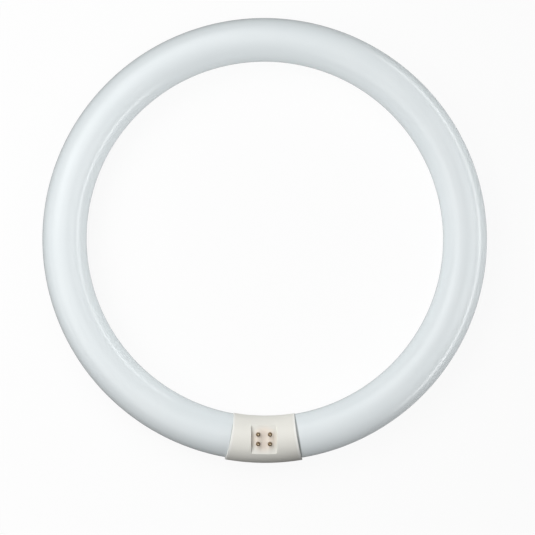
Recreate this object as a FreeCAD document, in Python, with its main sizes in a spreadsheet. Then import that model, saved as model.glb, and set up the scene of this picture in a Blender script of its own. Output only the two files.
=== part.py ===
# Ring-shaped fluorescent lamp: a sealed glass tube, a two-part moulded cap, contact pins and lead wires.
# Millimetres. The ring lies flat with its axis on +Z and its centre on the Z axis. The cap is at -Y, with
# the pins pointing up, and its lowest line is at Z = 0.

import FreeCAD, Part
import math
import os

import Sketcher
from FreeCAD import Placement, Rotation, Vector

doc = FreeCAD.newDocument("ring_lamp")


# Driving sizes

SIZES = [
    # the ring of glass
    ("ring_outer_dia", 305.0),
    ("tube_dia", 30.0),
    # the sealed ends of the glass, hidden in the cap
    ("neck_step", 1.0),
    ("shoulder_round", 0.8),
    ("rim_width", 2.2),
    ("rim_round", 0.8),
    ("funnel_depth", 9.0),
    ("press_margin", 2.5),
    ("exhaust_clearance", 0.85),
    ("exhaust_setback", 2.0),
    ("exhaust_round", 1.4),
    # the cap's shells
    ("cap_length", 47.4),
    ("cap_wall", 1.75),
    ("cap_shift", 0.5),
    ("seat_clearance", 0.2),
    ("mouth_depth", 4.0),
    ("mouth_clearance", 0.1),
    ("shoulder_gap", 0.9),
    ("end_draft", 5.5),
    ("end_round", 0.45),
    ("parting_chamfer", 0.25),
    # the connector well
    ("well_width", 17.0),
    ("well_depth", 3.1),
    ("well_wall", 1.5),
    ("floor_thickness", 1.5),
    ("well_round", 0.4),
    ("end_clearance", 1.0),
    # the contact pins
    ("pin_spacing_x", 7.92),
    ("pin_spacing_y", 6.35),
    ("pin_dia", 2.4),
    ("pin_length", 6.0),
    ("pin_nose_round", 0.55),
    ("dimple_dia", 1.0),
    ("dimple_depth", 0.9),
    ("collar_step", 0.25),
    ("collar_fit", 0.05),
    ("flange_step", 0.45),
    ("flange_thickness", 0.6),
    ("tail_wall", 0.55),
    ("tail_length", 2.0),
    ("cup_clearance", 0.15),
    ("cup_rise", 1.2),
    # the lead wires
    ("wire_dia", 0.6),
    ("wire_rise", 2.2),
    ("wire_end_clearance", 0.2),
    # the hooks and catches that hold the two shells together
    ("hook_width", 8.0),
    ("hook_thickness", 1.4),
    ("hook_inset", 1.4),
    ("hook_nose", 0.5),
    ("hook_nose_height", 2.0),
    ("catch_drop", 2.0),
    ("catch_height", 1.8),
    ("catch_clearance", 0.15),
]

# Sizes worked out from them. Angles are counted along the ring from the middle of the cap, and a cut
# reaches one wall past what it cuts.

WORKED = [
    ("ring_radius", "(sizes.ring_outer_dia - sizes.tube_dia) / 2"),
    ("tube_r", "sizes.tube_dia / 2"),
    ("neck_r", "tube_r - sizes.neck_step"),
    ("shell_bore_r", "neck_r + sizes.seat_clearance"),
    ("cap_r", "shell_bore_r + sizes.cap_wall"),
    ("wall_mid_r", "shell_bore_r + sizes.cap_wall / 2"),
    ("mouth_r", "tube_r + sizes.mouth_clearance"),
    ("axis_z", "cap_r"),
    ("cap_ring_radius", "ring_radius + sizes.cap_shift"),
    ("lip", "cap_r - sizes.cap_shift - mouth_r"),
    ("past", "sizes.cap_wall"),
    ("degrees_per_mm", "180 / pi / ring_radius"),
    ("cap_angle", "sizes.cap_length / 2 * degrees_per_mm"),
    ("blank_angle", "(sizes.cap_length / 2 + past) * degrees_per_mm"),
    ("beyond_angle", "(sizes.cap_length / 2 + 2 * past) * degrees_per_mm"),
    ("mouth_angle", "(sizes.cap_length / 2 - sizes.mouth_depth) * degrees_per_mm"),
    ("shoulder_angle", "mouth_angle + sizes.shoulder_gap * degrees_per_mm"),
    ("block_angle", "(sizes.well_width / 2 + sizes.well_wall) * degrees_per_mm"),
    ("end_angle", "block_angle + sizes.end_clearance * degrees_per_mm"),
    ("floor_z", "axis_z + cap_r - sizes.well_depth"),
    ("floor_under_z", "floor_z - sizes.floor_thickness"),
    ("pin_x", "sizes.pin_spacing_x / 2"),
    ("pin_y", "sizes.pin_spacing_y / 2"),
    ("pin_r", "sizes.pin_dia / 2"),
    ("collar_r", "pin_r + sizes.collar_step"),
    ("flange_r", "collar_r + sizes.flange_step"),
    ("flange_low_z", "-sizes.floor_thickness - sizes.flange_thickness"),
    ("tail_z", "flange_low_z - sizes.tail_length"),
    ("wire_r", "sizes.wire_dia / 2"),
    ("cup_r", "wire_r + sizes.cup_clearance"),
    ("tail_r", "cup_r + sizes.tail_wall"),
    ("wire_bend", "floor_z + tail_z - sizes.wire_rise - axis_z"),
    ("wire_top", "floor_z + sizes.cup_rise - sizes.wire_end_clearance - axis_z"),
    ("press_r", "pin_y + wire_r + sizes.press_margin"),
    ("exhaust_r", "pin_y - wire_r - sizes.exhaust_clearance"),
    ("hook_out", "shell_bore_r - sizes.hook_inset"),
    ("hook_in", "hook_out - sizes.hook_thickness"),
    ("hook_out_root", "sqrt(wall_mid_r^2 - hook_out^2)"),
    ("hook_in_root", "sqrt(wall_mid_r^2 - hook_in^2)"),
    ("catch_in", "hook_out + sizes.catch_clearance"),
    ("catch_low", "sizes.catch_drop + sizes.catch_height"),
    ("catch_top_root", "sqrt(wall_mid_r^2 - sizes.catch_drop^2)"),
    ("catch_low_root", "sqrt(wall_mid_r^2 - catch_low^2)"),
    ("nose_top", "catch_low + sizes.catch_clearance"),
    ("nose_low", "nose_top + sizes.hook_nose_height"),
]


def fill_sheet(name, rows):
    """A sheet with one row for each value: its name in column A and its aliased cell in column B."""
    sheet = doc.addObject("Spreadsheet::Sheet", name)
    for row, (alias, content) in enumerate(rows, start=1):
        sheet.set(f"A{row}", alias)
        sheet.set(f"B{row}", content)
        sheet.setAlias(f"B{row}", alias)
    doc.recompute()
    return sheet


sizes = fill_sheet("sizes", [(alias, str(number)) for alias, number in SIZES])
worked = fill_sheet("worked", [(alias, "=" + formula) for alias, formula in WORKED])

# The pins stand at the corners of a rectangle: which side of its middle each is on, in X and in Y

PIN_CORNERS = [(-1, 1), (1, 1), (-1, -1), (1, -1)]


# Sketching helpers

ORIGIN = -1
ORIGIN_POINT = 1
START, END, CENTRE = range(1, 4)


def sketch_on(body, role, name, offset=None, turn=None, turn_axis=Vector(0, 1, 0)):
    """A sketch on one of the body's origin planes, moved along its normal or turned by an expression."""
    sketch = body.newObject("Sketcher::SketchObject", name)
    plane = next(f for f in body.Origin.OriginFeatures if f.Role == role)
    sketch.AttachmentSupport = [(plane, "")]
    sketch.MapMode = "FlatFace"
    if turn:
        sketch.AttachmentOffset = Placement(Vector(), Rotation(turn_axis, sketch.evalExpression(turn)))
        sketch.setExpression("AttachmentOffset.Rotation.Angle", turn)
    for axis, expression in (offset or {}).items():
        sketch.setExpression(f"AttachmentOffset.Base.{axis}", expression)
    return sketch


def pin_point(sketch, geometry, point, x, y):
    """Ties a point of the sketch to the origin by two expressions."""
    for kind, expression in (("DistanceX", x), ("DistanceY", y)):
        distance = sketch.evalExpression(expression)
        row = sketch.addConstraint(
            Sketcher.Constraint(kind, ORIGIN, ORIGIN_POINT, geometry, point, distance)
        )
        sketch.setExpression(f"Constraints[{row}]", expression)


def outline(sketch, corners):
    """A closed outline of straight sides, each corner given by an X and a Y expression."""
    points = [Vector(sketch.evalExpression(x), sketch.evalExpression(y), 0) for x, y in corners]
    first = sketch.GeometryCount
    sides = len(corners)
    for side in range(sides):
        sketch.addGeometry(Part.LineSegment(points[side], points[(side + 1) % sides]))
    for side in range(sides):
        following = first + (side + 1) % sides
        sketch.addConstraint(Sketcher.Constraint("Coincident", first + side, END, following, START))
    for side, (x, y) in enumerate(corners):
        pin_point(sketch, first + side, START, x, y)


def disc(sketch, x, y, radius):
    """A circle given by three expressions."""
    centre = Vector(sketch.evalExpression(x), sketch.evalExpression(y), 0)
    size = sketch.evalExpression(radius)
    ring = sketch.addGeometry(Part.Circle(centre, Vector(0, 0, 1), size))
    pin_point(sketch, ring, CENTRE, x, y)
    row = sketch.addConstraint(Sketcher.Constraint("Radius", ring, size))
    sketch.setExpression(f"Constraints[{row}]", radius)


def half_disc(sketch, x, y, radius, side):
    """Half a disc above (side 1) or below (side -1) its own level diameter."""
    centre = Vector(sketch.evalExpression(x), sketch.evalExpression(y), 0)
    size = sketch.evalExpression(radius)
    start = 0 if side > 0 else math.pi
    circle = Part.Circle(centre, Vector(0, 0, 1), size)
    arc = sketch.addGeometry(Part.ArcOfCircle(circle, start, start + math.pi))
    reach = Vector(size * side, 0, 0)
    line = sketch.addGeometry(Part.LineSegment(centre - reach, centre + reach))
    sketch.addConstraint(Sketcher.Constraint("Coincident", arc, END, line, START))
    sketch.addConstraint(Sketcher.Constraint("Coincident", arc, START, line, END))
    sketch.addConstraint(Sketcher.Constraint("Horizontal", line))
    sketch.addConstraint(Sketcher.Constraint("PointOnObject", arc, CENTRE, line))
    pin_point(sketch, arc, CENTRE, x, y)
    row = sketch.addConstraint(Sketcher.Constraint("Radius", arc, size))
    sketch.setExpression(f"Constraints[{row}]", radius)


def barrel(sketch, x, y, radius, top):
    """Half a disc above its level diameter, cut off flat at a given height."""
    centre = Vector(sketch.evalExpression(x), sketch.evalExpression(y), 0)
    size = sketch.evalExpression(radius)
    rise = sketch.evalExpression(top) - centre.y
    lean = math.asin(rise / size)
    circle = Part.Circle(centre, Vector(0, 0, 1), size)
    right = sketch.addGeometry(Part.ArcOfCircle(circle, 0, lean))
    left = sketch.addGeometry(Part.ArcOfCircle(circle, math.pi - lean, math.pi))
    across = Vector(size * math.cos(lean), 0, 0)
    level = centre + Vector(0, rise, 0)
    lid = sketch.addGeometry(Part.LineSegment(level + across, level - across))
    base = sketch.addGeometry(Part.LineSegment(centre - Vector(size, 0, 0), centre + Vector(size, 0, 0)))
    for one, two in ((right, lid), (lid, left), (left, base), (base, right)):
        sketch.addConstraint(Sketcher.Constraint("Coincident", one, END, two, START))
    sketch.addConstraint(Sketcher.Constraint("Coincident", left, CENTRE, right, CENTRE))
    sketch.addConstraint(Sketcher.Constraint("Horizontal", base))
    sketch.addConstraint(Sketcher.Constraint("Horizontal", lid))
    sketch.addConstraint(Sketcher.Constraint("PointOnObject", right, CENTRE, base))
    pin_point(sketch, right, CENTRE, x, y)
    row = sketch.addConstraint(Sketcher.Constraint("Radius", right, size))
    sketch.setExpression(f"Constraints[{row}]", radius)
    height = Sketcher.Constraint("DistanceY", ORIGIN, ORIGIN_POINT, lid, START, centre.y + rise)
    row = sketch.addConstraint(height)
    sketch.setExpression(f"Constraints[{row}]", top)


# Feature helpers


def turned(body, kind, sketch, name, angle, axis="V_Axis", both_ways=False, backwards=False):
    """A Revolution or Groove of a sketch about one of the sketch's own axes."""
    feature = body.newObject(f"PartDesign::{kind}", name)
    feature.Profile = sketch
    feature.ReferenceAxis = (sketch, [axis])
    feature.Midplane = both_ways
    feature.Reversed = backwards
    feature.setExpression("Angle", angle)
    return feature


def pushed(body, kind, sketch, name, length, both_ways=False, backwards=False):
    """A Pad or Pocket of a sketch along its normal."""
    feature = body.newObject(f"PartDesign::{kind}", name)
    feature.Profile = sketch
    feature.SideType = "Symmetric" if both_ways else "One side"
    feature.Reversed = backwards
    feature.setExpression("Length", length)
    return feature


def mirrored(body, features, name):
    """The features again on the other side of the plane through the ring's axis and the cap's middle."""
    feature = body.newObject("PartDesign::Mirrored", name)
    feature.Originals = features
    plane = next(f for f in body.Origin.OriginFeatures if f.Role == "YZ_Plane")
    feature.MirrorPlane = (plane, [""])
    body.Tip = feature
    return feature


def dressed(body, kind, base, name, size, wanted):
    """A Fillet or Chamfer on those edges of the base feature that the test picks."""
    doc.recompute()
    picked = []
    for number, edge in enumerate(base.Shape.Edges, start=1):
        if all(wanted(point) for point in edge.discretize(5)):
            picked.append(f"Edge{number}")
    if not picked:
        raise RuntimeError(f"{name} finds no edge")
    feature = body.newObject(f"PartDesign::{kind}", name)
    feature.Base = (base, picked)
    feature.setExpression("Radius" if kind == "Fillet" else "Size", size)
    return feature


LARGEST_SHARE = 0.9


def within(size, room):
    """An edge's size, which takes up at most a fixed share of the room that it has."""
    return f"min({size}; {LARGEST_SHARE} * ({room}))"


NEAR = 1e-3


def near(one, two):
    """Whether two measures are the same."""
    return abs(one - two) < NEAR


def from_circle(point, radius):
    """Distance of a point from a circle of that radius round the ring's axis, in the ring's middle plane."""
    return math.hypot(math.hypot(point.x, point.y) - radius, point.z - worked.axis_z)


def along_ring(point):
    """Angle of a point along the ring from the middle of the cap, without its sign."""
    return abs(math.degrees(math.atan2(point.x, -point.y)))


def new_body(label):
    """An empty body whose label names its file."""
    body = doc.addObject("PartDesign::Body", label)
    body.Label = label
    return body


# Glass tube: a ring of full diameter, drawn in at both ends and sealed with a re-entrant stem


def make_glass_tube():
    body = new_body("glass_tube")
    section = sketch_on(body, "YZ_Plane", "tube_section")
    disc(section, "worked.ring_radius", "worked.axis_z", "worked.tube_r")
    turned(body, "Revolution", section, "tube_ring", "360 - 2 * worked.shoulder_angle", both_ways=True)
    section = sketch_on(body, "YZ_Plane", "neck_section")
    disc(section, "worked.ring_radius", "worked.axis_z", "worked.neck_r")
    turned(body, "Revolution", section, "necks", "360 - 2 * worked.end_angle", both_ways=True)

    # The funnel's outline lies in the ring's plane, with X along the tube, out of its end
    stem = sketch_on(
        body,
        "XY_Plane",
        "stem_section",
        offset={
            "x": "worked.ring_radius * sin(worked.end_angle)",
            "y": "-worked.ring_radius * cos(worked.end_angle)",
            "z": "worked.axis_z",
        },
        turn="180 + worked.end_angle",
        turn_axis=Vector(0, 0, 1),
    )
    rim = "worked.neck_r - sizes.rim_width"
    outline(
        stem,
        [
            ("worked.past", "0"),
            ("worked.past", rim),
            ("0", rim),
            ("-sizes.funnel_depth", "worked.press_r"),
            ("-sizes.funnel_depth", "worked.exhaust_r"),
            ("-sizes.exhaust_setback", "worked.exhaust_r"),
            ("-sizes.exhaust_setback", "0"),
        ],
    )
    funnel = turned(body, "Groove", stem, "funnel", "360", axis="H_Axis")
    ends = mirrored(body, [funnel], "funnels")

    # Every glass edge is melted round
    centre = Vector(math.sin(math.radians(worked.end_angle)), -math.cos(math.radians(worked.end_angle)), 0)
    centre = centre * worked.ring_radius + Vector(0, 0, worked.axis_z)
    tangent = Vector(centre.y, -centre.x, 0).normalize()

    def in_stem(point):
        """Position of a point along the stem, out of the glass, and its distance from the stem's axis."""
        offset = Vector(abs(point.x), point.y, point.z) - centre
        depth = offset.dot(tangent)
        return depth, (offset - tangent * depth).Length

    def on_rim(point):
        depth, reach = in_stem(point)
        return near(depth, 0) and reach > worked.neck_r - sizes.rim_width - NEAR

    def on_tip(point):
        depth, reach = in_stem(point)
        return near(depth, -sizes.exhaust_setback) and near(reach, worked.exhaust_r)

    def on_shoulder(point):
        on_tube = near(from_circle(point, worked.ring_radius), worked.tube_r)
        return on_tube and near(along_ring(point), worked.shoulder_angle)

    rim_round = within("sizes.rim_round", "sizes.rim_width / 2")
    tip_round = within("sizes.exhaust_round", "worked.exhaust_r")
    shoulder_round = within("sizes.shoulder_round", "sizes.neck_step")
    rims = dressed(body, "Fillet", ends, "rims", rim_round, on_rim)
    tips = dressed(body, "Fillet", rims, "exhaust_tips", tip_round, on_tip)
    dressed(body, "Fillet", tips, "shoulders", shoulder_round, on_shoulder)
    return body


# Cap: two moulded half shells that meet on the ring's middle plane and close round the sealed ends. Their
# outside sits further from the ring's axis than the tube, so the wall is thicker on the side away from it.


def make_shell(label, side):
    """The shape that both halves share: above the middle plane for side 1, below it for side -1."""
    body = new_body(label)
    section = sketch_on(body, "YZ_Plane", f"{label}_section")
    half_disc(section, "-worked.cap_ring_radius", "worked.axis_z", "worked.cap_r", side)
    turned(body, "Revolution", section, f"{label}_blank", "2 * worked.blank_angle", both_ways=True)
    middle = ("-worked.ring_radius", "worked.axis_z")

    # The hollow between the tube's ends is cut off flat under the floor of the connector well
    section = sketch_on(body, "YZ_Plane", f"{label}_hollow_section")
    if side > 0:
        barrel(section, *middle, "worked.shell_bore_r", "worked.floor_under_z")
    else:
        half_disc(section, *middle, "worked.shell_bore_r", side)
    turned(body, "Groove", section, f"{label}_hollow", "2 * worked.blank_angle", both_ways=True)

    # Both ends: a seat for the drawn-in glass, a mouth for the full tube and a drafted end face
    cuts = []
    for name, radius, start in (
        ("seat", "worked.shell_bore_r", "worked.block_angle"),
        ("mouth", "worked.mouth_r", "worked.mouth_angle"),
    ):
        section = sketch_on(body, "YZ_Plane", f"{label}_{name}_section", turn=start)
        half_disc(section, *middle, radius, side)
        angle = f"worked.beyond_angle - {start}"
        cuts.append(turned(body, "Groove", section, f"{label}_{name}", angle))
    face = sketch_on(body, "XZ_Plane", f"{label}_end_section", turn="worked.cap_angle")
    rise = "(worked.cap_r + worked.past)"
    outline(
        face,
        [
            ("worked.past * tan(sizes.end_draft)", f"worked.axis_z - {side} * worked.past"),
            (f"-{rise} * tan(sizes.end_draft)", f"worked.axis_z + {side} * {rise}"),
            ("2 * worked.past", f"worked.axis_z + {side} * {rise}"),
            ("2 * worked.past", f"worked.axis_z - {side} * worked.past"),
        ],
    )
    reach = "2 * (worked.ring_radius + worked.cap_r + worked.past)"
    cuts.append(pushed(body, "Pocket", face, f"{label}_end", reach, both_ways=True))
    mirrored(body, cuts, f"{label}_ends")
    return body


def round_shell(body, base, label):
    """Rounds the shell's end faces and breaks the edge where the halves meet."""

    def on_skin(point):
        return near(from_circle(point, worked.cap_ring_radius), worked.cap_r)

    def on_end(point):
        return along_ring(point) > worked.mouth_angle and on_skin(point)

    def on_parting(point):
        return near(point.z, worked.axis_z) and on_skin(point)

    end_round = within("sizes.end_round", "worked.lip")
    chamfer = within("sizes.parting_chamfer", "worked.lip")
    ends = dressed(body, "Fillet", base, f"{label}_end_edges", end_round, on_end)
    dressed(body, "Chamfer", ends, f"{label}_parting_edges", chamfer, on_parting)


def make_cap_front():
    body = make_shell("cap_front", 1)
    level = {"z": "worked.floor_z"}
    across = "sizes.well_width / 2"
    well = sketch_on(body, "XY_Plane", "well_plan", offset=level)
    outline(
        well,
        [
            (f"-{across}", "-worked.ring_radius - worked.cap_r"),
            (across, "-worked.ring_radius - worked.cap_r"),
            (across, "-worked.ring_radius + worked.cap_r"),
            (f"-{across}", "-worked.ring_radius + worked.cap_r"),
        ],
    )
    pushed(body, "Pocket", well, "well", "sizes.well_depth + worked.past", backwards=True)
    holes = sketch_on(body, "XY_Plane", "pin_hole_plan", offset=level)
    for x_side, y_side in PIN_CORNERS:
        disc(
            holes,
            f"{x_side} * worked.pin_x",
            f"{y_side} * worked.pin_y - worked.ring_radius",
            "worked.collar_r + sizes.collar_fit",
        )
    pushed(body, "Pocket", holes, "pin_holes", "sizes.floor_thickness + worked.past")
    hooks = sketch_on(body, "YZ_Plane", "hook_section")
    for y_side in (-1, 1):
        outline(
            hooks,
            [
                (f"{y_side} * {out} - worked.ring_radius", f"worked.axis_z + {up}")
                for out, up in (
                    ("worked.hook_in", "worked.hook_in_root"),
                    ("worked.hook_out", "worked.hook_out_root"),
                    ("worked.hook_out", "(-worked.nose_top)"),
                    ("(worked.hook_out + sizes.hook_nose)", "(-worked.nose_top)"),
                    ("worked.hook_out", "(-worked.nose_low)"),
                    ("worked.hook_in", "(-worked.nose_low)"),
                )
            ],
        )
    pads = pushed(body, "Pad", hooks, "hooks", "sizes.hook_width", both_ways=True)

    def on_well_wall(point):
        return near(abs(point.x), sizes.well_width / 2) and point.z > worked.floor_z - NEAR

    walls = dressed(body, "Fillet", pads, "well_edges", "sizes.well_round", on_well_wall)
    round_shell(body, walls, "cap_front")
    return body


def make_cap_rear():
    body = make_shell("cap_rear", -1)
    catches = sketch_on(body, "YZ_Plane", "catch_section")
    for y_side in (-1, 1):
        outline(
            catches,
            [
                (f"{y_side} * {out} - worked.ring_radius", f"worked.axis_z - {down}")
                for out, down in (
                    ("(worked.catch_in + sizes.hook_nose)", "sizes.catch_drop"),
                    ("worked.catch_top_root", "sizes.catch_drop"),
                    ("worked.catch_low_root", "worked.catch_low"),
                    ("worked.catch_in", "worked.catch_low"),
                    ("worked.catch_in", "(sizes.catch_drop + sizes.catch_height / 2)"),
                )
            ],
        )
    pads = pushed(body, "Pad", catches, "catches", "sizes.hook_width", both_ways=True)
    round_shell(body, pads, "cap_rear")
    return body


# Contact pins: turned brass, with a collar in the floor, a flange under it and a cup for the wire


def make_contact_pin(number, x_side, y_side):
    body = new_body(f"contact_pin_{number}")
    profile = sketch_on(body, "XZ_Plane", f"pin_profile_{number}")
    dimple_low = "sizes.pin_length - sizes.dimple_depth"
    outline(
        profile,
        [
            ("worked.cup_r", "worked.tail_z"),
            ("worked.tail_r", "worked.tail_z"),
            ("worked.tail_r", "worked.flange_low_z"),
            ("worked.flange_r", "worked.flange_low_z"),
            ("worked.flange_r", "-sizes.floor_thickness"),
            ("worked.collar_r", "-sizes.floor_thickness"),
            ("worked.collar_r", "0"),
            ("worked.pin_r", "0"),
            ("worked.pin_r", "sizes.pin_length"),
            ("sizes.dimple_dia / 2", "sizes.pin_length"),
            ("sizes.dimple_dia / 2", dimple_low),
            ("0", dimple_low),
            ("0", "sizes.cup_rise"),
            ("worked.cup_r", "sizes.cup_rise"),
        ],
    )
    pin = turned(body, "Revolution", profile, f"pin_turned_{number}", "360")

    def on_nose(point):
        return near(point.z, sizes.pin_length) and near(math.hypot(point.x, point.y), worked.pin_r)

    nose_round = within("sizes.pin_nose_round", "worked.pin_r - sizes.dimple_dia / 2")
    dressed(body, "Fillet", pin, f"pin_nose_{number}", nose_round, on_nose)
    body.setExpression("Placement.Base.x", f"{x_side} * worked.pin_x")
    body.setExpression("Placement.Base.y", f"{y_side} * worked.pin_y - worked.ring_radius")
    body.setExpression("Placement.Base.z", "worked.floor_z")
    return body


# Lead wires: out of the stem along the tube, round a bend and up into the pin's cup


def make_lead_wire(number, x_side, y_side):
    body = new_body(f"lead_wire_{number}")
    run = (
        f"(worked.ring_radius - {y_side} * worked.pin_y) * sin(worked.end_angle)"
        " - worked.pin_x * cos(worked.end_angle) + sizes.funnel_depth"
    )
    bend = worked.wire_bend
    length = body.evalExpression(run)
    top = worked.wire_top
    route = sketch_on(body, "XZ_Plane", f"wire_route_{number}")
    circle = Part.Circle(Vector(bend, bend, 0), Vector(0, 0, 1), bend)
    flat = route.addGeometry(Part.LineSegment(Vector(length, 0, 0), Vector(bend, 0, 0)))
    arc = route.addGeometry(Part.ArcOfCircle(circle, math.pi, 1.5 * math.pi))
    rise = route.addGeometry(Part.LineSegment(Vector(0, bend, 0), Vector(0, top, 0)))
    route.addConstraint(Sketcher.Constraint("Tangent", flat, END, arc, END))
    route.addConstraint(Sketcher.Constraint("Tangent", arc, START, rise, START))
    row = route.addConstraint(Sketcher.Constraint("Radius", arc, bend))
    route.setExpression(f"Constraints[{row}]", "worked.wire_bend")
    pin_point(route, flat, START, run, "0")
    pin_point(route, rise, END, "0", "worked.wire_top")
    route.addConstraint(Sketcher.Constraint("Horizontal", flat))

    section = sketch_on(body, "YZ_Plane", f"wire_section_{number}", offset={"z": run})
    disc(section, "0", "0", "worked.wire_r")
    wire = body.newObject("PartDesign::AdditivePipe", f"wire_sweep_{number}")
    wire.Profile = section
    wire.Spine = (route, ["Edge1", "Edge2", "Edge3"])
    turn = "worked.end_angle" if x_side > 0 else "180 - worked.end_angle"
    body.Placement = Placement(Vector(), Rotation(Vector(0, 0, 1), body.evalExpression(turn)))
    body.setExpression("Placement.Rotation.Angle", turn)
    body.setExpression("Placement.Base.x", f"{x_side} * worked.pin_x")
    body.setExpression("Placement.Base.y", f"{y_side} * worked.pin_y - worked.ring_radius")
    body.setExpression("Placement.Base.z", "worked.axis_z")
    return body


sub_parts = [make_glass_tube(), make_cap_front(), make_cap_rear()]
for number, (x_side, y_side) in enumerate(PIN_CORNERS, start=1):
    sub_parts.append(make_contact_pin(number, x_side, y_side))
    sub_parts.append(make_lead_wire(number, x_side, y_side))
doc.recompute()

# Every object has to be sound before anything is written

for item in doc.Objects:
    if "Invalid" in item.State or "Error" in item.State:
        raise RuntimeError(f"{item.Label} failed: {item.State}")
for body in sub_parts:
    if body.Shape.isNull() or not body.Shape.isValid() or len(body.Shape.Solids) != 1:
        raise RuntimeError(f"{body.Label} is not one sound solid")

os.makedirs("parts", exist_ok=True)
for body in sub_parts:
    body.Shape.exportStep(f"parts/{body.Label}.step")
    box = body.Shape.BoundBox
    print(
        f"{body.Label}: {body.Shape.Volume:.1f} mm3, x {box.XMin:.2f} to {box.XMax:.2f},"
        f" y {box.YMin:.2f} to {box.YMax:.2f}, z {box.ZMin:.2f} to {box.ZMax:.2f}"
    )
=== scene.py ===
# %% [markdown]
# # A circular fluorescent tube
#
# The lamp is a glass tube bent to a full ring, white inside from its coating. A cream cap of two moulded
# shells closes the gap between the tube's two sealed ends, and carries four brass pins in a shallow well.
# It lies on a table with the pins up, and the camera looks down on it.
#
# The file is read from top to bottom: a cell of words, then a short cell of code that does what it says.

# %% Load the frame
import math

import bmesh
import bpy
from mathutils import Matrix, Vector


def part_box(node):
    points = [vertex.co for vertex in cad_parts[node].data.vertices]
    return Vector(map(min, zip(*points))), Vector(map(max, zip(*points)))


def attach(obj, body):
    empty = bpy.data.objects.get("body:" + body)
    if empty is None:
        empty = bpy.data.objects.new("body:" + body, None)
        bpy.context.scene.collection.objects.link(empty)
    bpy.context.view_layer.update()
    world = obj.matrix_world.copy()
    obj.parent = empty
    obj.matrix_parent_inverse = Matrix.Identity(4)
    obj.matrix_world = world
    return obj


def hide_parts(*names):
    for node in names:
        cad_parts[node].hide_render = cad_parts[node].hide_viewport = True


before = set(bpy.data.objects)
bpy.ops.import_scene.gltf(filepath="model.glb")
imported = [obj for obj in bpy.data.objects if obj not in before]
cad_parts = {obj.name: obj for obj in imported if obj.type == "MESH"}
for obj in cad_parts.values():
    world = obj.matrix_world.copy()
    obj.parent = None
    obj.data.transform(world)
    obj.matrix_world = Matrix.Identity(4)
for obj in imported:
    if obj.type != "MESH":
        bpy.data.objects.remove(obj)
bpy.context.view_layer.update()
MM = 0.001

# %% [markdown]
# ## Sizes that every piece shares
#
# The solids already know how large the lamp is, so its sizes are measured on them and not typed again. The
# glass solid's box gives the outside of the ring and the thickness of the tube. What is left is the circle
# that runs along the middle of the tube. The cap's length runs along that circle, so it follows from the
# point of the front shell that is turned furthest from the cap's middle. The middle of the well lies between
# two opposite pins. Two sizes that no box shows are typed: the slope of the cap's ends, which lets the shells
# leave their mould, and how far the pins stand out of the well's floor.

# %% Shared sizes
glass_low, glass_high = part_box("glass_tube")
tube_radius = (glass_high.z - glass_low.z) / 2
axis_height = (glass_high.z + glass_low.z) / 2
ring_radius = glass_high.x - tube_radius
cap_points = [point.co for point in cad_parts["cap_front"].data.vertices]
cap_half_length = ring_radius * max(math.atan2(point.x, -point.y) for point in cap_points)
END_DRAFT = math.radians(5.5)
first_low, first_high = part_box("contact_pin_1")
last_low, last_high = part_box("contact_pin_4")
PIN_LENGTH = 6.0
well_middle = (first_low + first_high + last_low + last_high) / 4
well_middle.z = first_high.z - PIN_LENGTH * MM
print(f"ring radius {ring_radius / MM:.2f} mm, tube radius {tube_radius / MM:.2f} mm")
print(f"cap length {2 * cap_half_length / MM:.2f} mm, well's floor {well_middle.z / MM:.2f} mm up")

# %% [markdown]
# ## Two small tools for node trees
#
# Geometry trees and material trees are made of the same parts: a node, its settings, and its inputs, which
# hold either a value or a wire from another node. One helper adds a node with all three at once, and one
# adds a Math node, so that a cell shows what is computed and not how nodes are connected.


# %% Node helpers
def put(tree, kind, inputs=None, **settings):
    """Adds a node, changes its settings, and fills its inputs with values or wires."""
    node = tree.nodes.new(kind)
    for setting, value in settings.items():
        setattr(node, setting, value)
    for key, value in (inputs or {}).items():
        if isinstance(value, bpy.types.NodeSocket):
            tree.links.new(value, node.inputs[key])
        else:
            node.inputs[key].default_value = value
    return node


def calc(tree, operation, *values):
    """The result of one Math node."""
    return put(tree, "ShaderNodeMath", dict(enumerate(values)), operation=operation).outputs[0]


# %% [markdown]
# ## White coated glass
#
# The tube is clear glass with a matte white powder on its inside. What the eye gets is a soft white from the
# powder, slightly cool and not quite even, under the sharp gloss of the glass. A Principled shader has both
# layers: the base is the powder, and the coat is the glass. The coat's tint is the faint green of the glass,
# which grows towards the edges of the tube, where one looks through more of it. The powder settles in
# clouds and grains, so two noises of different size shift its colour a little. Glass that was drawn to a tube
# is never quite true either, and a weak bump that runs along the tube makes its reflections waver.
#
# Before the tube is sealed, the powder is wiped off its ends, and the cap hides that bare glass. The glass
# also gets a painted shadow of the cap. It is dark grey up to just short of the cap's ends, and because these
# slope back towards the front, a thin dark crescent shows beside them. Its middle is set half a millimetre
# towards the right end. So the crescent shows beside the right end, where the cap's shadow falls in light
# from the left, and only a hint of it shows at the left end. A helper finds it by the distance along the
# ring, and later helps to find the lips of the cap.


# %% Coated glass
def new_material(name, **values):
    """A material with a Principled shader, and the values that are the same all over it."""
    material = bpy.data.materials.new(name)
    material.use_nodes = True
    tree = material.node_tree
    shader = tree.nodes["Principled BSDF"]
    for socket, value in values.items():
        shader.inputs[socket.replace("_", " ").title().replace("Ior", "IOR")].default_value = value
    return material, tree, shader


def noise(tree, where, scale, detail=2.0):
    """A grey noise between 0 and 1, with a scale in grains per metre."""
    return put(tree, "ShaderNodeTexNoise", {"Vector": where, "Scale": scale, "Detail": detail}).outputs[0]


def blend(tree, amount, first, second):
    """A colour between two others, each of them fixed or from a wire."""
    ends = [c if isinstance(c, bpy.types.NodeSocket) else (*c, 1) for c in (first, second)]
    return put(tree, "ShaderNodeMix", {0: amount, 6: ends[0], 7: ends[1]}, data_type="RGBA").outputs[2]


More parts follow.
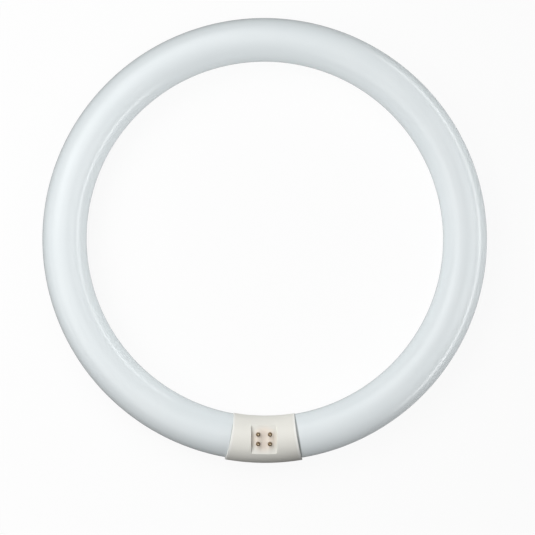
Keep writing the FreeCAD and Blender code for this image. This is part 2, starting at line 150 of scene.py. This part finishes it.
def ramp(tree, value, start, end, **settings):
    """Goes from 0 to 1 while a value goes from start to end."""
    inputs = {"Value": value, "From Min": start, "From Max": end}
    return put(tree, "ShaderNodeMapRange", inputs, **settings).outputs[0]


def between(tree, amount, low, high):
    """A number between two others, by an amount from 0 to 1."""
    return put(tree, "ShaderNodeMapRange", {"Value": amount, "To Min": low, "To Max": high}).outputs[0]


def bump(tree, height, strength, depth, **below):
    """A normal that follows a height, with the depth in millimetres."""
    inputs = {"Height": height, "Strength": strength, "Distance": depth * MM, **below}
    return put(tree, "ShaderNodeBump", inputs).outputs[0]


def along_ring(tree, spot, aside=0.0):
    """How far along the ring a point is from the cap's middle, or from a place a little aside of it."""
    part = put(tree, "ShaderNodeSeparateXYZ", {0: spot}).outputs
    turn = calc(tree, "ARCTAN2", part["X"], calc(tree, "MULTIPLY", part["Y"], -1.0))
    return calc(tree, "ABSOLUTE", calc(tree, "MULTIPLY_ADD", turn, ring_radius, -aside))


coated_glass, tree, shader = new_material(
    "white_coated_glass",
    roughness=0.55,
    specular_ior_level=0.2,
    coat_weight=1.0,
    coat_roughness=0.22,
    coat_ior=1.5,
    coat_tint=(0.94, 0.98, 0.985, 1),
)
spot = put(tree, "ShaderNodeTexCoord").outputs["Object"]
drawn = put(tree, "ShaderNodeAttribute", attribute_name="drawn").outputs["Vector"]
THIN_POWDER = (0.82, 0.843, 0.859)
THICK_POWDER = (0.89, 0.898, 0.909)
GRAIN_SHARE = 0.3
clouds = noise(tree, spot, 28.0, 3.0)
grains = noise(tree, spot, 2600.0, 1.0)
cloud_part = calc(tree, "MULTIPLY", clouds, 1.0 - GRAIN_SHARE)
settled = calc(tree, "MULTIPLY_ADD", grains, GRAIN_SHARE, cloud_part)
powder = blend(tree, settled, THIN_POWDER, THICK_POWDER)
# Painted shadow: the glass is dark grey up to just short of the cap's ends. It shows as a thin crescent
# beside them, stronger at the right end.
PAINTED_SHADOW_GREY = (0.4, 0.41, 0.41)
SHADOW_BACK = 0.65
SHADOW_ASIDE = 0.5
SHADOW_FADE = 0.15
shadow_half_length = cap_half_length - SHADOW_BACK * MM
fade_start, fade_end = shadow_half_length + SHADOW_FADE * MM, shadow_half_length - SHADOW_FADE * MM
painted_cap_shadow = ramp(tree, along_ring(tree, spot, SHADOW_ASIDE * MM), fade_start, fade_end)
tree.links.new(blend(tree, painted_cap_shadow, powder, PAINTED_SHADOW_GREY), shader.inputs["Base Color"])
tree.links.new(bump(tree, grains, 0.15, 0.05), shader.inputs["Normal"])
ripples = noise(tree, drawn, 1.0, 2.0)
tree.links.new(bump(tree, ripples, 0.25, 0.25), shader.inputs["Coat Normal"])
print("made", coated_glass.name, "with", len(tree.nodes), "nodes")

# %% [markdown]
# ## A tree that turns a profile
#
# The tube with its drawn-in ends and the pins are both turned forms: a profile line, spun about an axis. A
# Screw modifier could spin them, but the same tree can also round the profile's corners and, for the ring,
# cut long runs into short ones, so that they can be bent later. The profile is a mesh of edges only, with X
# along the axis and Y away from it. Each point carries its own round.
#
# The tree fillets the profile, then makes a grid with one row for each point of it and one column for each
# step of the turn. A row looks up its point, a column its angle, and Set Position rolls the grid up. Merging
# closes the seam and the two poles.


# %% Turning tree
def new_tree(name, inputs):
    """An empty geometry tree with a geometry in and out, and named inputs after it."""
    tree = bpy.data.node_groups.new(name, "GeometryNodeTree")
    tree.interface.new_socket("Geometry", in_out="INPUT", socket_type="NodeSocketGeometry")
    for label, kind in inputs:
        tree.interface.new_socket(label, in_out="INPUT", socket_type=f"NodeSocket{kind}")
    tree.interface.new_socket("Geometry", in_out="OUTPUT", socket_type="NodeSocketGeometry")
    return tree, tree.nodes.new("NodeGroupInput").outputs


def whole(tree, operation, *values):
    """The result of one Integer Math node."""
    return put(tree, "FunctionNodeIntegerMath", dict(enumerate(values)), operation=operation).outputs[0]


turning, given = new_tree("turn a profile", [("Steps", "Int"), ("Longest Run", "Float")])
line = put(turning, "GeometryNodeMeshToCurve", {"Mesh": given["Geometry"]}).outputs[0]
rounds = put(turning, "GeometryNodeInputNamedAttribute", {"Name": "round"}).outputs[0]
filleted = put(
    turning,
    "GeometryNodeFilletCurve",
    {"Curve": line, "Count": 6, "Radius": rounds, "Limit Radius": True},
    mode="POLY",
).outputs[0]
place = put(turning, "GeometryNodeInputPosition").outputs[0]
following = put(turning, "GeometryNodeOffsetPointInCurve", {"Offset": 1}).outputs["Point Index"]
next_place = put(
    turning, "GeometryNodeFieldAtIndex", {"Value": place, "Index": following}, data_type="FLOAT_VECTOR"
).outputs[0]
reach = put(turning, "ShaderNodeVectorMath", {0: place, 1: next_place}, operation="DISTANCE").outputs[1]
cuts = calc(turning, "FLOOR", calc(turning, "DIVIDE", reach, given["Longest Run"]))
profile = put(turning, "GeometryNodeSubdivideCurve", {"Curve": filleted, "Cuts": cuts}).outputs[0]
points = put(turning, "GeometryNodeAttributeDomainSize", {"Geometry": profile}, component="CURVE").outputs[0]
columns = whole(turning, "ADD", given["Steps"], 1)
grid = put(turning, "GeometryNodeMeshGrid", {"Vertices X": points, "Vertices Y": columns}).outputs[0]
index = put(turning, "GeometryNodeInputIndex").outputs[0]
row = whole(turning, "DIVIDE_FLOOR", index, columns)
column = whole(turning, "FLOORED_MODULO", index, columns)
corner = put(
    turning,
    "GeometryNodeSampleIndex",
    {"Geometry": profile, "Value": place, "Index": row},
    data_type="FLOAT_VECTOR",
).outputs[0]
corner = put(turning, "ShaderNodeSeparateXYZ", {0: corner}).outputs
angle = calc(turning, "DIVIDE", calc(turning, "MULTIPLY", column, math.tau), given["Steps"])
rolled = put(
    turning,
    "ShaderNodeCombineXYZ",
    {
        "X": calc(turning, "MULTIPLY", corner["Y"], calc(turning, "COSINE", angle)),
        "Y": calc(turning, "MULTIPLY", corner["Y"], calc(turning, "SINE", angle)),
        "Z": corner["X"],
    },
).outputs[0]
skin = put(turning, "GeometryNodeSetPosition", {"Geometry": grid, "Position": rolled}).outputs[0]
closed = put(turning, "GeometryNodeMergeByDistance", {"Geometry": skin, "Distance": 0.001 * MM}).outputs[0]
put(turning, "NodeGroupOutput", {"Geometry": closed})
print("made the tree", turning.name, "with", len(turning.nodes), "nodes")

# %% [markdown]
# ## Glass ring
#
# On the real lamp a straight tube is heated and wound round a drum, so its shape follows one rule: the turned
# tube, bent along a circle. The tree does the same. It turns the profile of the straight tube, then reads the
# distance along it as an angle on the ring. The profile has the whole of a sealed end: the shoulder where the
# glass draws in to its neck, the melted rim, the funnel that runs back into the tube and the little exhaust
# stub inside it. The cap hides all that, but a part should be whole when it is taken apart.
#
# A new attribute called drawn keeps the direction of the tube for the material: round the tube its numbers
# change quickly, along it slowly, so that the noise in the glass is stretched as drawn glass is.

# %% Ring tree
bending, given = new_tree(
    "bend a tube to a ring",
    [
        ("Steps", "Int"),
        ("Longest Run", "Float"),
        ("Ring Radius", "Float"),
        ("Axis Height", "Float"),
        ("Material", "Material"),
    ],
)
straight = put(bending, "GeometryNodeGroup", node_tree=turning)
for label in ("Geometry", "Steps", "Longest Run"):
    bending.links.new(given[label], straight.inputs[label])
place = put(bending, "GeometryNodeInputPosition").outputs[0]
here = put(bending, "ShaderNodeSeparateXYZ", {0: place}).outputs
bend = calc(bending, "DIVIDE", here["Z"], given["Ring Radius"])
out = calc(bending, "ADD", given["Ring Radius"], here["X"])
bent = put(
    bending,
    "ShaderNodeCombineXYZ",
    {
        "X": calc(bending, "MULTIPLY", out, calc(bending, "SINE", bend)),
        "Y": calc(bending, "MULTIPLY", out, calc(bending, "COSINE", bend)),
        "Z": calc(bending, "ADD", given["Axis Height"], here["Y"]),
    },
).outputs[0]
DRAWN_SCALE = (160.0, 160.0, 14.0)
stretched = put(bending, "ShaderNodeVectorMath", {0: place, 1: DRAWN_SCALE}, operation="MULTIPLY").outputs[0]
marked = put(
    bending,
    "GeometryNodeStoreNamedAttribute",
    {"Geometry": straight.outputs[0], "Name": "drawn", "Value": stretched},
    data_type="FLOAT_VECTOR",
).outputs[0]
ring = put(bending, "GeometryNodeSetPosition", {"Geometry": marked, "Position": bent}).outputs[0]
real = put(bending, "GeometryNodeRealizeInstances", {"Geometry": ring}).outputs[0]
glazed = put(bending, "GeometryNodeSetMaterial", {"Geometry": real, "Material": given["Material"]}).outputs[0]
put(bending, "NodeGroupOutput", {"Geometry": glazed})
print("made the tree", bending.name, "with", len(bending.nodes), "nodes")

# %% [markdown]
# The profile starts and ends on the axis, in the middle of the exhaust stubs. One end is written down as
# corners with their rounds, counted from the outermost glass, and the other end is its mirror image.


# %% Glass ring
def profile_line(name, corners):
    """An object of edges only: corners of a profile as (along, out, round), in millimetres."""
    mesh = bpy.data.meshes.new(name)
    places = [(along * MM, out * MM, 0) for along, out, _ in corners]
    mesh.from_pydata(places, [(n, n + 1) for n in range(len(places) - 1)], [])
    mesh.attributes.new("round", "FLOAT", "POINT").data.foreach_set("value", [c[2] * MM for c in corners])
    line = bpy.data.objects.new(name, mesh)
    bpy.context.scene.collection.objects.link(line)
    return line


def grow(line, tree, **inputs):
    """Runs a tree on a profile line, keeps the result as a plain closed mesh, and takes the tree off."""
    modifier = line.modifiers.new(tree.name, "NODES")
    modifier.node_group = tree
    for item in tree.interface.items_tree:
        key = item.name.replace(" ", "_").lower()
        if item.in_out == "INPUT" and key in inputs:
            modifier[item.identifier] = inputs[key]
    drawing = line.data
    mesh = bpy.data.meshes.new_from_object(line.evaluated_get(bpy.context.evaluated_depsgraph_get()))
    line.modifiers.remove(modifier)
    skin = bmesh.new()
    skin.from_mesh(mesh)
    bmesh.ops.recalc_face_normals(skin, faces=skin.faces)
    skin.to_mesh(mesh)
    open_edges = sum(not edge.is_manifold for edge in skin.edges)
    skin.free()
    mesh.shade_smooth()
    mesh.set_sharp_from_angle(angle=math.radians(35))
    line.data = mesh
    bpy.data.meshes.remove(drawing)
    mesh.name = line.name
    triangles = sum(len(face.vertices) - 2 for face in mesh.polygons)
    print(f"{line.name}: {triangles} triangles, {open_edges} open edges")
    return line


SEALED_END_ARC = 11.0
SHOULDER_ARC = 20.6
NECK_STEP = 1.0
RIM_WIDTH = 2.2
RIM_ROUND = 0.8
FUNNEL_DEPTH = 9.0
FUNNEL_RADIUS = 5.975
STUB_RADIUS = 2.025
STUB_BACK = 2.0
half_run = math.pi * ring_radius / MM - SEALED_END_ARC
shoulder = SEALED_END_ARC - SHOULDER_ARC
tube_out = tube_radius / MM
neck_out = tube_out - NECK_STEP
sealed_end = [
    (-STUB_BACK, 0.0, 0.0),
    (-STUB_BACK, STUB_RADIUS, 1.4),
    (-FUNNEL_DEPTH, STUB_RADIUS, 0.3),
    (-FUNNEL_DEPTH, FUNNEL_RADIUS, 0.3),
    (0.0, neck_out - RIM_WIDTH, RIM_ROUND),
    (0.0, neck_out, RIM_ROUND),
    (shoulder, neck_out, 0.0),
    (shoulder, tube_out, RIM_ROUND),
]
right_half = [(half_run + along, out, turn) for along, out, turn in sealed_end]
left_half = [(-along, out, turn) for along, out, turn in reversed(right_half)]
glass_ring = grow(
    profile_line("glass_ring", right_half + left_half),
    bending,
    steps=96,
    longest_run=2.2 * MM,
    ring_radius=ring_radius,
    axis_height=axis_height,
    material=coated_glass,
)

# %% [markdown]
# ## Cream cap plastic
#
# The cap is moulded in a cream thermoset plastic. It isn't shiny: the mould was spark-eroded, which leaves a
# fine satin grain. The colour drifts very slightly where the plastic flowed. The thin lips at both ends get a
# painted highlight: a paler cream for the light that their rounded edges catch. The lips follow the ring, so
# the material asks the helper how far a point is from the middle of the cap, adds the slope of the ends, and
# fades to the paler colour over the last millimetre or so. In the well round the pins the cream turns a
# little warmer and lighter.

# %% Cap plastic
DARK_CREAM = (0.815, 0.803, 0.745)
LIGHT_CREAM = (0.845, 0.835, 0.78)
WARM_WELL_CREAM = (0.92, 0.825, 0.725)
LIP_HIGHLIGHT_CREAM = (0.895, 0.89, 0.855)
LIP_START, LIP_FULL = 1.7, 0.9
WARM_START, WARM_FULL = 10.5, 4.5
cap_plastic, tree, shader = new_material("cream_cap_plastic", specular_ior_level=0.4)
spot = put(tree, "ShaderNodeTexCoord").outputs["Object"]
flow = noise(tree, spot, 90.0, 3.0)
cream = blend(tree, flow, DARK_CREAM, LIGHT_CREAM)
# The cream turns warmer and lighter towards the middle of the pins' well.
from_pins = put(tree, "ShaderNodeVectorMath", {0: spot, 1: well_middle}, operation="DISTANCE").outputs[1]
near_pins = ramp(tree, from_pins, WARM_START * MM, WARM_FULL * MM, interpolation_type="SMOOTHSTEP")
cream = blend(tree, near_pins, cream, WARM_WELL_CREAM)
height = put(tree, "ShaderNodeSeparateXYZ", {0: spot}).outputs["Z"]
lift = calc(tree, "ABSOLUTE", calc(tree, "SUBTRACT", height, axis_height))
past_middle = calc(tree, "MULTIPLY_ADD", lift, math.tan(END_DRAFT), along_ring(tree, spot))
# Painted highlight: the lips fade to a paler cream, which stands in for the light caught on their rounded
# ends.
lip_start, lip_full = cap_half_length - LIP_START * MM, cap_half_length - LIP_FULL * MM
lip_highlight = ramp(tree, past_middle, lip_start, lip_full, interpolation_type="SMOOTHSTEP")
tree.links.new(blend(tree, lip_highlight, cream, LIP_HIGHLIGHT_CREAM), shader.inputs["Base Color"])
satin = noise(tree, spot, 3800.0, 2.0)
tree.links.new(between(tree, satin, 0.36, 0.52), shader.inputs["Roughness"])
satin_bump = bump(tree, satin, 0.25, 0.04)
tree.links.new(bump(tree, flow, 0.3, 0.3, Normal=satin_bump), shader.inputs["Normal"])
print("made", cap_plastic.name, "with", len(tree.nodes), "nodes")

# %% [markdown]
# ## Cap shells
#
# The two shells are already exact in the solids, down to their rounds, so their meshes stay and only take the
# new material. A solid's mesh is never changed here.


# %% Cap shells
def finish_node(name, material):
    """Gives a solid that stays its material."""
    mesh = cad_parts[name].data
    mesh.materials.clear()
    mesh.materials.append(material)
    print(name, "keeps its", len(mesh.polygons), "faces and gets", material.name)


for name in ("cap_front", "cap_rear"):
    finish_node(name, cap_plastic)

# %% [markdown]
# ## Dulled brass
#
# The pins are turned brass that has been in the air for a while: brown rather than yellow, duller in patches,
# with fine rings from the lathe. The dimple in the nose is filled with a pale bead of solder. Rings and bead
# run round each pin, so the material needs to know where a point is on its own pin. The pin tree stores that
# as the attribute turned.

# %% Pin brass
DARK_BRASS = (0.15, 0.1, 0.055)
LIGHT_BRASS = (0.28, 0.195, 0.105)
SOLDER = (0.78, 0.68, 0.52)
DIMPLE_RADIUS = 0.5
LATHE_MARKS = 7.0
pin_brass, tree, shader = new_material("dulled_pin_brass", metallic=1.0)
turned = put(tree, "ShaderNodeAttribute", attribute_name="turned").outputs["Vector"]
on_pin = put(tree, "ShaderNodeSeparateXYZ", {0: turned}).outputs
spot = put(tree, "ShaderNodeTexCoord").outputs["Object"]
patches = noise(tree, spot, 900.0, 3.0)
aged = blend(tree, patches, DARK_BRASS, LIGHT_BRASS)
away = put(tree, "ShaderNodeVectorMath", {0: turned, 1: (1, 1, 0)}, operation="MULTIPLY").outputs[0]
away = put(tree, "ShaderNodeVectorMath", {0: away}, operation="LENGTH").outputs["Value"]
inside = ramp(tree, away, DIMPLE_RADIUS * 1.15 * MM, DIMPLE_RADIUS * 0.9 * MM)
tree.links.new(blend(tree, inside, aged, SOLDER), shader.inputs["Base Color"])
tree.links.new(between(tree, patches, 0.42, 0.26), shader.inputs["Roughness"])
turns = calc(tree, "MULTIPLY", calc(tree, "ADD", away, on_pin["Z"]), math.tau * LATHE_MARKS / MM)
tree.links.new(bump(tree, calc(tree, "SINE", turns), 0.2, 0.02), shader.inputs["Normal"])
print("made", pin_brass.name, "with", len(tree.nodes), "nodes")

# %% [markdown]
# ## Contact pins
#
# Four equal pins on the corners of a rectangle are what instances are for. The tree turns one pin with the
# tree from above, stores the place of each point on it, and sets a copy on every point of a grid of two by
# two. The profile runs from the solder cup in the tail, over the flange that is riveted under the well's
# floor, along the shank to its round nose, and down into the dimple.

# %% Pin tree
pinning, given = new_tree(
    "set pins on a rectangle",
    [
        ("Steps", "Int"),
        ("Spacing X", "Float"),
        ("Spacing Y", "Float"),
        ("Middle", "Vector"),
        ("Material", "Material"),
    ],
)
pin = put(pinning, "GeometryNodeGroup", {"Longest Run": 1.0}, node_tree=turning)
for label in ("Geometry", "Steps"):
    pinning.links.new(given[label], pin.inputs[label])
place = put(pinning, "GeometryNodeInputPosition").outputs[0]
remembered = put(
    pinning,
    "GeometryNodeStoreNamedAttribute",
    {"Geometry": pin.outputs[0], "Name": "turned", "Value": place},
    data_type="FLOAT_VECTOR",
).outputs[0]
corners = put(
    pinning,
    "GeometryNodeMeshGrid",
    {"Size X": given["Spacing X"], "Size Y": given["Spacing Y"], "Vertices X": 2, "Vertices Y": 2},
).outputs[0]
corners = put(
    pinning, "GeometryNodeTransform", {"Geometry": corners, "Translation": given["Middle"]}
).outputs[0]
copies = put(pinning, "GeometryNodeInstanceOnPoints", {"Points": corners, "Instance": remembered}).outputs[0]
real = put(pinning, "GeometryNodeRealizeInstances", {"Geometry": copies}).outputs[0]
plated = put(pinning, "GeometryNodeSetMaterial", {"Geometry": real, "Material": given["Material"]}).outputs[0]
put(pinning, "NodeGroupOutput", {"Geometry": plated})
print("made the tree", pinning.name, "with", len(pinning.nodes), "nodes")

# %% [markdown]
# The corners of a pin are counted from the well's floor, in millimetres. The box of a pin gives the length of
# its tail and the radius of its flange, and the rest is typed.

# %% Contact pins
SHANK_RADIUS = 1.2
NOSE_ROUND = 0.55
COLLAR_RADIUS = 1.45
FLOOR_THICKNESS = 1.5
FLANGE_THICKNESS = 0.6
TAIL_RADIUS = 1.0
EDGE_ROUND = 0.12
CUP_RADIUS = 0.45
CUP_RISE = 1.2
DIMPLE_DEPTH = 0.9
tail_end = (first_low.z - well_middle.z) / MM
flange_radius = (first_high.x - first_low.x) / 2 / MM
flange_low = -FLOOR_THICKNESS - FLANGE_THICKNESS
dimple_floor = PIN_LENGTH - DIMPLE_DEPTH
pin_corners = [
    (CUP_RISE, 0.0, 0.0),
    (CUP_RISE, CUP_RADIUS, 0.0),
    (tail_end, CUP_RADIUS, 0.0),
    (tail_end, TAIL_RADIUS, EDGE_ROUND),
    (flange_low, TAIL_RADIUS, 0.0),
    (flange_low, flange_radius, EDGE_ROUND),
    (-FLOOR_THICKNESS, flange_radius, 0.0),
    (-FLOOR_THICKNESS, COLLAR_RADIUS, 0.0),
    (0.0, COLLAR_RADIUS, 0.0),
    (0.0, SHANK_RADIUS, 0.0),
    (PIN_LENGTH, SHANK_RADIUS, NOSE_ROUND),
    (PIN_LENGTH, DIMPLE_RADIUS, 0.1),
    (dimple_floor, DIMPLE_RADIUS, 0.2),
    (dimple_floor, 0.0, 0.0),
]
contact_pins = grow(
    profile_line("contact_pins", pin_corners),
    pinning,
    steps=40,
    spacing_x=last_low.x - first_low.x,
    spacing_y=first_low.y - last_low.y,
    middle=well_middle,
    material=pin_brass,
)

# %% [markdown]
# ## Lead wires
#
# Four wires run from the sealed glass to the pins, inside the cap. They are plain drawn nickel-iron wire,
# grey and slightly streaked. Nobody sees them unless the cap is opened, so the solids stay and get a finish.

# %% Lead wires
DARK_WIRE = (0.52, 0.50, 0.47)
LIGHT_WIRE = (0.66, 0.64, 0.61)
lead_wire, tree, shader = new_material("drawn_lead_wire", metallic=1.0)
spot = put(tree, "ShaderNodeTexCoord").outputs["Object"]
streaks = noise(tree, spot, 1500.0, 3.0)
tree.links.new(blend(tree, streaks, DARK_WIRE, LIGHT_WIRE), shader.inputs["Base Color"])
tree.links.new(between(tree, streaks, 0.28, 0.42), shader.inputs["Roughness"])
for number in range(1, 5):
    finish_node(f"lead_wire_{number}", lead_wire)

# %% [markdown]
# ## Tie the new pieces to the frame
#
# Each new piece rides on the lamp's one body and stands for the solids that it replaces, which are hidden.

# %% Ride and replace
for piece, slot, nodes in (
    (glass_ring, "coated_glass", ["glass_tube"]),
    (contact_pins, "pin_brass", [f"contact_pin_{number}" for number in range(1, 5)]),
):
    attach(piece, "root")
    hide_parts(*nodes)
    print(piece.name, "stands for", ", ".join(nodes))

# %% [markdown]
# ## Floor
#
# The lamp lies on a white sweep: a wide floor that turns up into a wall far away, so that no horizon shows. A
# ring of points is set for each step outwards and upwards, and faces join each ring to the next.

# %% Floor
FLOOR_REACH = 8.0
WALL_HEIGHT = 2.5
BEND_RADIUS = 1.0
ROUND = 64
flat_reach = FLOOR_REACH - BEND_RADIUS
sweep = bmesh.new()
steps_out = [(0.5, 0.0), (1.5, 0.0), (4.0, 0.0), (flat_reach, 0.0)]
for slope in map(math.radians, (15, 30, 45, 60, 75, 90)):
    steps_out.append((flat_reach + BEND_RADIUS * math.sin(slope), BEND_RADIUS * (1 - math.cos(slope))))
steps_out.append((FLOOR_REACH, WALL_HEIGHT))
directions = [(math.cos(math.tau * n / ROUND), math.sin(math.tau * n / ROUND)) for n in range(ROUND)]
middle = sweep.verts.new((0, 0, 0))
loops = [[sweep.verts.new((out * c, out * s, up)) for c, s in directions] for out, up in steps_out]
for n in range(ROUND):
    following = (n + 1) % ROUND
    sweep.faces.new((middle, loops[0][n], loops[0][following]))
    for inner, outer in zip(loops, loops[1:]):
        sweep.faces.new((inner[n], outer[n], outer[following], inner[following]))
floor_mesh = bpy.data.meshes.new("floor")
sweep.to_mesh(floor_mesh)
sweep.free()
floor_mesh.shade_smooth()
floor = bpy.data.objects.new("floor", floor_mesh)
bpy.context.scene.collection.objects.link(floor)
print("floor:", len(floor_mesh.polygons), "faces")

# %% [markdown]
# The floor's material tells rays apart. To the camera it is nearly plain white, mixed with enough of its own
# lit surface to keep the lamp's shadow. The light that it throws back on the lamp is that of a grey floor,
# because white all over would wash out the soft shading that makes the tube look round. Only inside the ring
# a round white card lies on the grey. It brightens the tube's inner side, and reaches out under the right of
# the ring, to lighten the outer edge there. Reflections see the grey floor with a share of white in it, and
# more of that on the card. This keeps the fine dark outline at the edges of the tube, where glass mirrors the
# floor most. The floor isn't counted as a lamp, so its emission isn't sampled: a ray that happens to hit it
# brings the light back.

# %% White sweep
CARD_RADIUS = 0.16
CARD_MIDDLE = (0.04, 0.008, 0.0)
GREY_FLOOR = (0.12, 0.12, 0.12)
WHITE_FLOOR = (0.95, 0.95, 0.95)
WHITE_SHARE = 0.9
GLOSS_SHARE = 0.2
CARD_GLOSS_SHARE = 0.1
white_sweep = bpy.data.materials.new("white_sweep")
white_sweep.use_nodes = True
white_sweep.cycles.emission_sampling = "NONE"
tree = white_sweep.node_tree
tree.nodes.clear()
ray = put(tree, "ShaderNodeLightPath").outputs
seen = calc(tree, "MAXIMUM", ray["Is Camera Ray"], ray["Is Transmission Ray"])
spot = put(tree, "ShaderNodeTexCoord").outputs["Object"]
off_card = put(tree, "ShaderNodeVectorMath", {0: spot, 1: CARD_MIDDLE}, operation="DISTANCE").outputs[1]
on_card = calc(tree, "LESS_THAN", off_card, CARD_RADIUS)
tone = blend(tree, seen, GREY_FLOOR, WHITE_FLOOR)
lit = put(tree, "ShaderNodeBsdfDiffuse", {"Color": tone}).outputs[0]
plain = put(tree, "ShaderNodeEmission", {"Color": (1, 1, 1, 1), "Strength": 1.0}).outputs[0]
white = calc(tree, "MAXIMUM", seen, calc(tree, "MULTIPLY", on_card, ray["Is Diffuse Ray"]))
mirrored = calc(tree, "MULTIPLY_ADD", on_card, CARD_GLOSS_SHARE, GLOSS_SHARE)
in_gloss = calc(tree, "MULTIPLY", ray["Is Glossy Ray"], mirrored)
share = calc(tree, "MAXIMUM", calc(tree, "MULTIPLY", white, WHITE_SHARE), in_gloss)
mixed = put(tree, "ShaderNodeMixShader", {0: share, 1: lit, 2: plain}).outputs[0]
put(tree, "ShaderNodeOutputMaterial", {"Surface": mixed})
floor_mesh.materials.append(white_sweep)
print("made", white_sweep.name, "with", len(tree.nodes), "nodes")

# %% [markdown]
# ## Light
#
# The tube shows what stands round it. Its broad soft bands come from big soft boxes on the left. A thin
# bright line near the outer edge on the right comes from strips that stand there almost level with the lamp.
# A photographer keeps such side light off the small cap with black flags, so that its well keeps a dark wall,
# and gives the cap a lamp of its own from above. Light linking does the same as flags: a lamp gets a
# collection of the pieces that it lights.
#
# Each lamp is an area light that points at the ring and fades towards its edges, as a real soft box does, so
# that no hard edge shows in the glass. The fade is made in the light's own nodes: Parametric runs from 0 to 1
# over the area. The fade leaves two thirds of the light each way, so the lamp is made stronger by the square
# of three halves, and its watts stay true.


# %% Soft lamp
RING_MIDDLE = Vector((0, 0, axis_height))
LAMP_DISTANCE = 1.1
EVEN_OUT = 9 / 4


def soft_lamp(name, azimuth, elevation, width, height, watts):
    """An area light aimed at the ring, bright in its middle and fading to nothing at its edges."""
    lamp = bpy.data.lights.new(name, "AREA")
    lamp.shape = "RECTANGLE"
    lamp.size, lamp.size_y = width, height
    lamp.energy = watts
    lamp.use_nodes = True
    tree = lamp.node_tree
    place = put(tree, "ShaderNodeNewGeometry").outputs["Parametric"]
    across = put(tree, "ShaderNodeSeparateXYZ", {0: place}).outputs
    fade = EVEN_OUT
    for axis in ("X", "Y"):
        from_middle = calc(tree, "MULTIPLY_ADD", across[axis], 2.0, -1.0)
        fall = calc(tree, "SUBTRACT", 1.0, calc(tree, "MULTIPLY", from_middle, from_middle))
        fade = calc(tree, "MULTIPLY", fade, fall)
    tree.links.new(fade, tree.nodes["Emission"].inputs["Strength"])
    holder = bpy.data.objects.new(name, lamp)
    turn, lift = math.radians(azimuth), math.radians(elevation)
    level = math.cos(lift)
    towards = Vector((math.cos(turn) * level, math.sin(turn) * level, math.sin(lift)))
    holder.location = RING_MIDDLE + towards * LAMP_DISTANCE
    holder.rotation_euler = (-towards).to_track_quat("-Z", "Y").to_euler()
    holder.visible_camera = False
    bpy.context.scene.collection.objects.link(holder)
    return holder


# %% Lamps
LAMPS = {
    # name, degrees round the ring from +X, degrees up, width, height, watts
    "everything": [
        ("soft_box_upper", 125, 50, 1.3, 1.1, 4.7),
        ("soft_box_left", 180, 45, 1.3, 1.0, 4.5),
        ("soft_box_lower", 230, 48, 1.1, 1.0, 2.1),
        ("overhead", 170, 80, 1.0, 0.8, 1.6),
        ("left_strip", 190, 12, 1.2, 0.3, 0.9),
        ("right_panel", 0, 50, 1.0, 0.9, 1.7),
    ],
    "glass": [
        ("right_strip_upper", 42, 13, 1.0, 0.3, 2.0),
        ("right_strip_middle", 4, 13, 0.85, 0.36, 2.2),
        ("right_strip_lower", 331, 10, 0.95, 0.32, 2.6),
    ],
    "cap": [("cap_lamp", 110, 62, 1.0, 0.8, 2.2)],
}
cap_pieces = [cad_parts["cap_front"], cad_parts["cap_rear"], contact_pins]
for target, pieces in (("everything", []), ("glass", [glass_ring]), ("cap", cap_pieces)):
    lit_pieces = bpy.data.collections.new(f"lit_{target}")
    for piece in pieces:
        lit_pieces.objects.link(piece)
    for row in LAMPS[target]:
        lamp = soft_lamp(*row)
        if pieces:
            lamp.light_linking.receiver_collection = lit_pieces
    print(f"{target}: {len(LAMPS[target])} lamps, {sum(row[-1] for row in LAMPS[target]):.1f} W together")

ROOM_LIGHT = 0.02
world = bpy.data.worlds.new("room")
world.use_nodes = True
backdrop = world.node_tree.nodes["Background"].inputs
backdrop["Color"].default_value = (1, 1, 1, 1)
backdrop["Strength"].default_value = ROOM_LIGHT
bpy.context.scene.world = world

# %% [markdown]
# ## Camera
#
# The photographer stood in front of the cap, a little off the ring's own axis, about seven ring radii away.
# The camera hangs over that point and looks at the point of the ring's plane that is in the middle of the
# picture. The picture is 535 pixels wide, and at that distance the ring's middle line has a radius of 201
# pixels in it, which gives the lens. The lamp was turned by nearly half a degree, so the camera rolls by
# that.

# %% Camera
PICTURE = 535
SENSOR = 36.0
RING_PIXELS = 201.27
RADII_AWAY = 7.0
STAND_X, STAND_Y = -17.5, -98.8
LOOK_X, LOOK_Y = 1.64, -21.06
ROLL = 0.45
away = RADII_AWAY * ring_radius
stand = Vector((STAND_X * MM, STAND_Y * MM, axis_height + away))
look_at = Vector((LOOK_X * MM, LOOK_Y * MM, axis_height))
camera = bpy.data.objects.new("camera", bpy.data.cameras.new("camera"))
camera.data.sensor_width = SENSOR
camera.data.lens = RING_PIXELS * RADII_AWAY / PICTURE * SENSOR
back = (stand - look_at).normalized()
right = Vector((0, 1, 0)).cross(back).normalized()
roll = Matrix.Rotation(math.radians(ROLL), 3, "Z")
facing = Matrix((right, back.cross(right), back)).transposed() @ roll
camera.matrix_world = Matrix.Translation(stand) @ facing.to_4x4()
bpy.context.scene.collection.objects.link(camera)
bpy.context.scene.camera = camera
print(f"camera: {camera.data.lens:.1f} mm lens at", [round(c, 3) for c in stand])

# %% [markdown]
# ## Last steps
#
# Colours are shown as they are computed.

# %% Finish
bpy.context.scene.view_settings.view_transform = "Standard"
